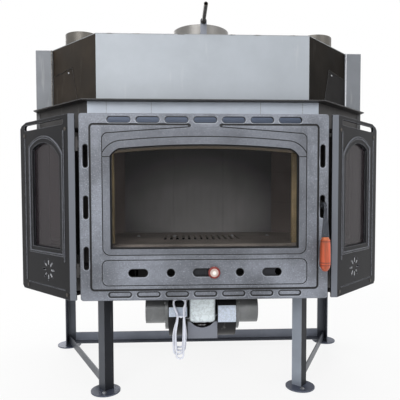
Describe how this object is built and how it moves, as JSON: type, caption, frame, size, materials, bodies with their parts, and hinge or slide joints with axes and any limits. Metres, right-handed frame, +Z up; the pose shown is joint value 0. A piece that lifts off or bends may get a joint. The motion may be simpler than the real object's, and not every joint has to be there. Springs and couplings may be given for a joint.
{
  "type": "fireplace cassette",
  "caption": "Three-sided glazed fireplace cassette on a steel stand, with a hinged front door, flue collar, hot-air outlets and a twin blower below.",
  "frame": {"origin": "floor level below the axis of the flue, which is also the middle of the box", "axes": "+X to the right seen from the front, +Y to the back, +Z up"},
  "size_m": [1.2388, 0.687, 1.22],
  "materials": {
    "grey_steel": "satin",
    "dark_steel": "satin",
    "black_steel": "satin",
    "grey_cast_iron": "matte",
    "fire_glass": "gloss",
    "seal_fabric": "matte",
    "fireclay": "matte",
    "turned_wood": "satin",
    "bright_metal": "satin",
    "black_plastic": "matte",
    "pale_plastic": "matte",
    "white_cable": "satin",
    "knob_enamel": "gloss"
  },
  "bodies": {
    "cassette": {"air_collars": "grey_steel", "ash_pan": "grey_steel", "baffle": "fireclay", "base_plate": "dark_steel", "blower_bracket": "grey_steel", "cable_gland": "black_plastic", "cord_hank": "white_cable", "cord_lead": "white_cable", "damper_bush": "black_plastic", "damper_strap": "grey_steel", "door_collar": "grey_steel", "firebox_back": "grey_steel", "firebox_floor": "grey_steel", "firebox_front": "grey_steel", "firebox_wall_left": "grey_steel", "firebox_wall_right": "grey_steel", "flange_plate": "grey_steel", "flue_collar": "grey_steel", "foot_pads": "dark_steel", "grate": "grey_cast_iron", "hearth_plate": "grey_cast_iron", "hinge_brackets": "grey_steel", "hood": "grey_steel", "hood_top": "grey_steel", "inlet_spigots": "dark_steel", "latch_keeper": "grey_steel", "legs": "dark_steel", "lining_back": "fireclay", "motor_body": "black_steel", "motor_cover": "pale_plastic", "outer_casing": "dark_steel", "scroll_left": "black_steel", "scroll_right": "black_steel", "side_collar_left": "grey_steel", "side_collar_right": "grey_steel", "side_frame_left": "grey_cast_iron", "side_frame_right": "grey_cast_iron", "side_gaskets": "seal_fabric", "side_glass_left": "fire_glass", "side_glass_right": "fire_glass", "side_linings": "fireclay", "side_screws": "bright_metal", "stand_rails": "dark_steel"},
    "front_door": {"door_plate": "grey_cast_iron", "door_glass": "fire_glass", "glass_gasket": "seal_fabric", "glass_clips": "bright_metal", "door_seal_rope": "seal_fabric", "hinge_lugs": "grey_steel", "shutter_guides": "grey_steel", "latch_bracket": "grey_steel"},
    "latch": {"latch_lever": "grey_cast_iron", "latch_ferrule": "bright_metal", "wooden_grip": "turned_wood"},
    "air_slide": {"air_shutter": "grey_steel", "shutter_knob": "knob_enamel"},
    "damper": {"damper_rod": "grey_steel", "damper_flap": "grey_steel"},
    "rotor": {"rotor_shaft": "bright_metal", "impellers": "black_steel"}
  },
  "joints": [
    {"name": "front_door_hinge", "type": "hinge", "parent": "cassette", "child": "front_door", "pos_m": [-0.382, -0.285, 0.6], "axis": [0, 0, -1], "range_deg": [0, 100]},
    {"name": "door_latch", "type": "hinge", "parent": "front_door", "child": "latch", "pos_m": [0.356, -0.281, 0.61], "axis": [-1, 0, 0], "range_deg": [0, 40]},
    {"name": "air_shutter_slide", "type": "slide", "parent": "front_door", "child": "air_slide", "axis": [-1, 0, 0], "range_m": [0, 0.052]},
    {"name": "flue_damper", "type": "hinge", "parent": "cassette", "child": "damper", "pos_m": [0, 0, 1.188], "axis": [0, 1, 0], "range_deg": [0, 90]},
    {"name": "fan_spin", "type": "hinge", "parent": "cassette", "child": "rotor", "pos_m": [-0.004, -0.107, 0.254], "axis": [1, 0, 0], "continuous": true}
  ]
}
